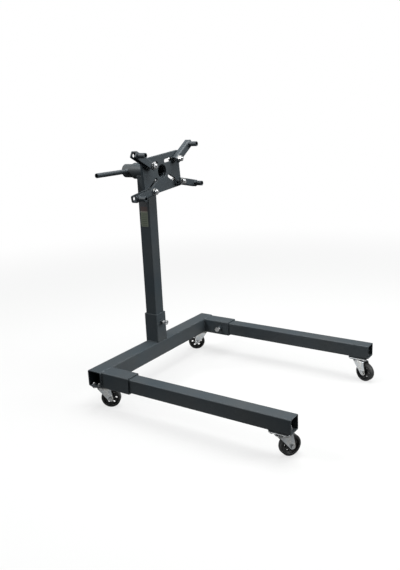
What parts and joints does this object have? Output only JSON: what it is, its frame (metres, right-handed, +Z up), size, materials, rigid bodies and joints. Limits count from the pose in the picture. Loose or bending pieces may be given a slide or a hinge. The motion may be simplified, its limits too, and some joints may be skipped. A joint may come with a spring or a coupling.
{
  "type": "engine stand",
  "caption": "Rolling steel engine stand: a crossbar with two forward legs on swivel castors, a post, and a rotating face plate with adjustable mounting arms.",
  "frame": {"origin": "on the floor, in the middle of the overall footprint", "axes": "+Z up, legs and face plate towards -Y, crossbar along X, +X on the right seen from the front"},
  "size_m": [0.73, 0.8732, 0.916],
  "materials": {
    "anthracite_paint": "satin powder coat",
    "zinc_pressing": "bright zinc plate",
    "zinc_fastener": "bright zinc plate",
    "castor_polymer": "moulded satin",
    "label_vinyl": "printed matt"
  },
  "bodies": {
    "stand": {"castor_bolts": "zinc_fastener", "castor_front_left_kingpin": "zinc_fastener", "castor_front_left_plate": "zinc_pressing", "castor_front_right_kingpin": "zinc_fastener", "castor_front_right_plate": "zinc_pressing", "castor_nuts": "zinc_fastener", "castor_pad_left": "anthracite_paint", "castor_pad_right": "anthracite_paint", "castor_rear_left_kingpin": "zinc_fastener", "castor_rear_left_plate": "zinc_pressing", "castor_rear_right_kingpin": "zinc_fastener", "castor_rear_right_plate": "zinc_pressing", "clamp_bolts": "zinc_fastener", "clamp_nuts": "anthracite_paint", "crossbar": "anthracite_paint", "head_housing": "anthracite_paint", "leg_left": "anthracite_paint", "leg_right": "anthracite_paint", "leg_socket_left": "anthracite_paint", "leg_socket_right": "anthracite_paint", "mast": "anthracite_paint", "mast_label": "label_vinyl", "mast_socket": "anthracite_paint"},
    "head": {"spindle": "anthracite_paint", "thrust_collar": "anthracite_paint", "face_plate": "anthracite_paint", "handle_bar": "anthracite_paint"},
    "arm_bolt_upper_left": {"arm_bolt_upper_left": "zinc_fastener", "arm_nut_upper_left": "zinc_fastener"},
    "arm_upper_left": {"arm_upper_left": "anthracite_paint", "bushing_upper_left": "anthracite_paint"},
    "arm_bolt_upper_right": {"arm_bolt_upper_right": "zinc_fastener", "arm_nut_upper_right": "zinc_fastener"},
    "arm_upper_right": {"arm_upper_right": "anthracite_paint", "bushing_upper_right": "anthracite_paint"},
    "arm_bolt_lower_left": {"arm_bolt_lower_left": "zinc_fastener", "arm_nut_lower_left": "zinc_fastener"},
    "arm_lower_left": {"arm_lower_left": "anthracite_paint", "bushing_lower_left": "anthracite_paint"},
    "arm_bolt_lower_right": {"arm_bolt_lower_right": "zinc_fastener", "arm_nut_lower_right": "zinc_fastener"},
    "arm_lower_right": {"arm_lower_right": "anthracite_paint", "bushing_lower_right": "anthracite_paint"},
    "castor_rear_left_fork": {"castor_rear_left_fork": "zinc_pressing", "castor_rear_left_axle": "zinc_fastener", "castor_rear_left_axle_nut": "zinc_fastener"},
    "castor_rear_left_wheel": {"castor_rear_left_wheel": "castor_polymer"},
    "castor_rear_right_fork": {"castor_rear_right_fork": "zinc_pressing", "castor_rear_right_axle": "zinc_fastener", "castor_rear_right_axle_nut": "zinc_fastener"},
    "castor_rear_right_wheel": {"castor_rear_right_wheel": "castor_polymer"},
    "castor_front_left_fork": {"castor_front_left_fork": "zinc_pressing", "castor_front_left_axle": "zinc_fastener", "castor_front_left_axle_nut": "zinc_fastener"},
    "castor_front_left_wheel": {"castor_front_left_wheel": "castor_polymer"},
    "castor_front_right_fork": {"castor_front_right_fork": "zinc_pressing", "castor_front_right_axle": "zinc_fastener", "castor_front_right_axle_nut": "zinc_fastener"},
    "castor_front_right_wheel": {"castor_front_right_wheel": "castor_polymer"}
  },
  "joints": [
    {"name": "head_turn", "type": "hinge", "parent": "stand", "child": "head", "pos_m": [0, 0.3419, 0.812], "axis": [0, -1, 0], "continuous": true},
    {"name": "upper_left_slot_slide", "type": "slide", "parent": "head", "child": "arm_bolt_upper_left", "axis": [-0.9962, 0, -0.0872], "range_m": [-0.053, 0.009]},
    {"name": "upper_left_arm_swing", "type": "hinge", "parent": "arm_bolt_upper_left", "child": "arm_upper_left", "pos_m": [-0.08158, 0.2649, 0.83799], "axis": [0, -1, 0], "range_deg": [-57, 33]},
    {"name": "upper_right_slot_slide", "type": "slide", "parent": "head", "child": "arm_bolt_upper_right", "axis": [0.9962, 0, 0.0872], "range_m": [-0.053, 0.009]},
    {"name": "upper_right_arm_swing", "type": "hinge", "parent": "arm_bolt_upper_right", "child": "arm_upper_right", "pos_m": [0.07582, 0.2649, 0.85176], "axis": [0, -1, 0], "range_deg": [-28, 62]},
    {"name": "lower_left_slot_slide", "type": "slide", "parent": "head", "child": "arm_bolt_lower_left", "axis": [-0.7986, 0, -0.6018], "range_m": [-0.06, 0.001]},
    {"name": "lower_left_arm_swing", "type": "hinge", "parent": "arm_bolt_lower_left", "child": "arm_lower_left", "pos_m": [-0.08465, 0.2649, 0.74821], "axis": [0, -1, 0], "range_deg": [-4, 86]},
    {"name": "lower_right_slot_slide", "type": "slide", "parent": "head", "child": "arm_bolt_lower_right", "axis": [0.891, 0, -0.454], "range_m": [-0.0525, 0.0085]},
    {"name": "lower_right_arm_swing", "type": "hinge", "parent": "arm_bolt_lower_right", "child": "arm_lower_right", "pos_m": [0.08776, 0.2649, 0.76728], "axis": [0, -1, 0], "range_deg": [-74, 16]},
    {"name": "castor_rear_left_swivel", "type": "hinge", "parent": "stand", "child": "castor_rear_left_fork", "pos_m": [-0.33, 0.3419, 0.0786], "axis": [0, 0, 1], "continuous": true},
    {"name": "castor_rear_left_roll", "type": "hinge", "parent": "castor_rear_left_fork", "child": "castor_rear_left_wheel", "pos_m": [-0.315, 0.31592, 0.035], "axis": [-0.866, -0.5, 0], "continuous": true},
    {"name": "castor_rear_right_swivel", "type": "hinge", "parent": "stand", "child": "castor_rear_right_fork", "pos_m": [0.33, 0.3419, 0.0786], "axis": [0, 0, 1], "continuous": true},
    {"name": "castor_rear_right_roll", "type": "hinge", "parent": "castor_rear_right_fork", "child": "castor_rear_right_wheel", "pos_m": [0.31072, 0.36488, 0.035], "axis": [0.766, 0.6428, 0], "continuous": true},
    {"name": "castor_front_left_swivel", "type": "hinge", "parent": "stand", "child": "castor_front_left_fork", "pos_m": [-0.33, -0.3721, 0.0786], "axis": [0, 0, 1], "continuous": true},
    {"name": "castor_front_left_roll", "type": "hinge", "parent": "castor_front_left_fork", "child": "castor_front_left_wheel", "pos_m": [-0.30402, -0.3871, 0.035], "axis": [-0.5, -0.866, 0], "continuous": true},
    {"name": "castor_front_right_swivel", "type": "hinge", "parent": "stand", "child": "castor_front_right_fork", "pos_m": [0.33, -0.3721, 0.0786], "axis": [0, 0, 1], "continuous": true},
    {"name": "castor_front_right_roll", "type": "hinge", "parent": "castor_front_right_fork", "child": "castor_front_right_wheel", "pos_m": [0.32073, -0.40063, 0.035], "axis": [-0.9511, 0.309, 0], "continuous": true}
  ]
}
